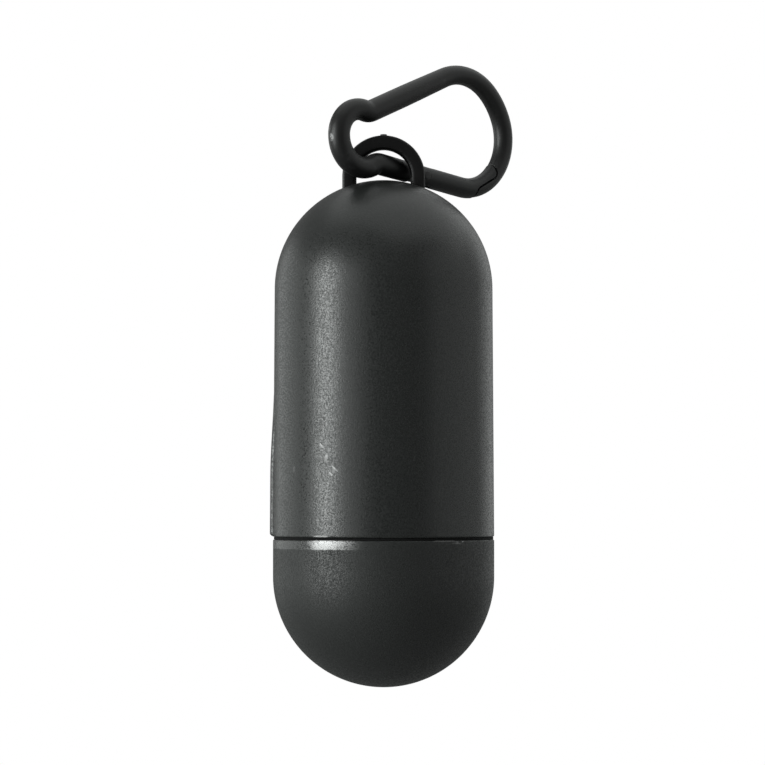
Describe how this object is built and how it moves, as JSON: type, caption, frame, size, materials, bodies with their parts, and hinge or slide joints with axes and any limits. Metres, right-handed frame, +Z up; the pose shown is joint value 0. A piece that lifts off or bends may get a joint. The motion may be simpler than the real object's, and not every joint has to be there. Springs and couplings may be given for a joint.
{
  "type": "dog poop bag dispenser",
  "caption": "Capsule dispenser for a roll of pet waste bags, with a screw-on cap, a side slot and a hanging eye held by a small sprung snap clip.",
  "frame": {"origin": "the point on the inside of the clip's large end where the ring or strap that it hangs from bears", "axes": "+Z up along the capsule's axis, away from the cap; -Y towards the camera; +X to the right in the picture"},
  "size_m": [0.0424, 0.0394, 0.1081],
  "materials": {
    "capsule_plastic": "matte, faintly speckled",
    "eye_plastic": "smooth satin",
    "black_wire": "black, satin",
    "steel": "plain",
    "seal_rubber": "matte",
    "cardboard": "uncoated card",
    "bag_film": "thin wound film"
  },
  "bodies": {
    "clip": {"clip_frame": "black_wire"},
    "gate": {"clip_gate": "black_wire", "gate_rivet": "black_wire", "gate_spring": "steel"},
    "plunger": {"gate_plunger": "steel"},
    "shell": {"shell": "capsule_plastic", "hanging_eye": "eye_plastic"},
    "seal": {"seal_ring": "seal_rubber"},
    "cap": {"cap": "capsule_plastic"},
    "roll": {"roll_core": "cardboard", "bag_roll": "bag_film"}
  },
  "joints": [
    {"name": "gate_pivot", "type": "hinge", "parent": "clip", "child": "gate", "pos_m": [-0.01218, -0.01097, -0.01253], "axis": [0.6691, -0.7431, 0], "range_deg": [0, 30], "stiffness_Nm_per_rad": 0.002, "springref_deg": -20.05},
    {"name": "plunger_travel", "type": "slide", "parent": "gate", "child": "plunger", "axis": [0.7348, 0.6616, -0.1495], "range_m": [0, 0.0006], "deforming": ["gate_spring"]},
    {"name": "eye_swing", "type": "hinge", "parent": "clip", "child": "shell", "pos_m": [-0.01858, -0.01673, -0.01123], "axis": [0.7348, 0.6616, -0.1495], "range_deg": [-24, 90]},
    {"name": "cap_travel", "type": "slide", "parent": "shell", "child": "seal", "axis": [0, 0, -1], "range_m": [0, 0.0075]},
    {"name": "cap_turn", "type": "hinge", "parent": "seal", "child": "cap", "pos_m": [-0.01871, -0.01658, -0.075], "axis": [0, 0, -1], "range_deg": [0, 540]},
    {"name": "roll_spin", "type": "hinge", "parent": "cap", "child": "roll", "pos_m": [-0.01871, -0.01658, -0.075], "axis": [0, 0, 1], "continuous": true}
  ],
  "couplings": [
    {"joint": "plunger_travel", "follows": "gate_pivot", "m_per_rad": 0.0011459},
    {"joint": "cap_turn", "follows": "cap_travel", "rad_per_m": 1256.6}
  ]
}
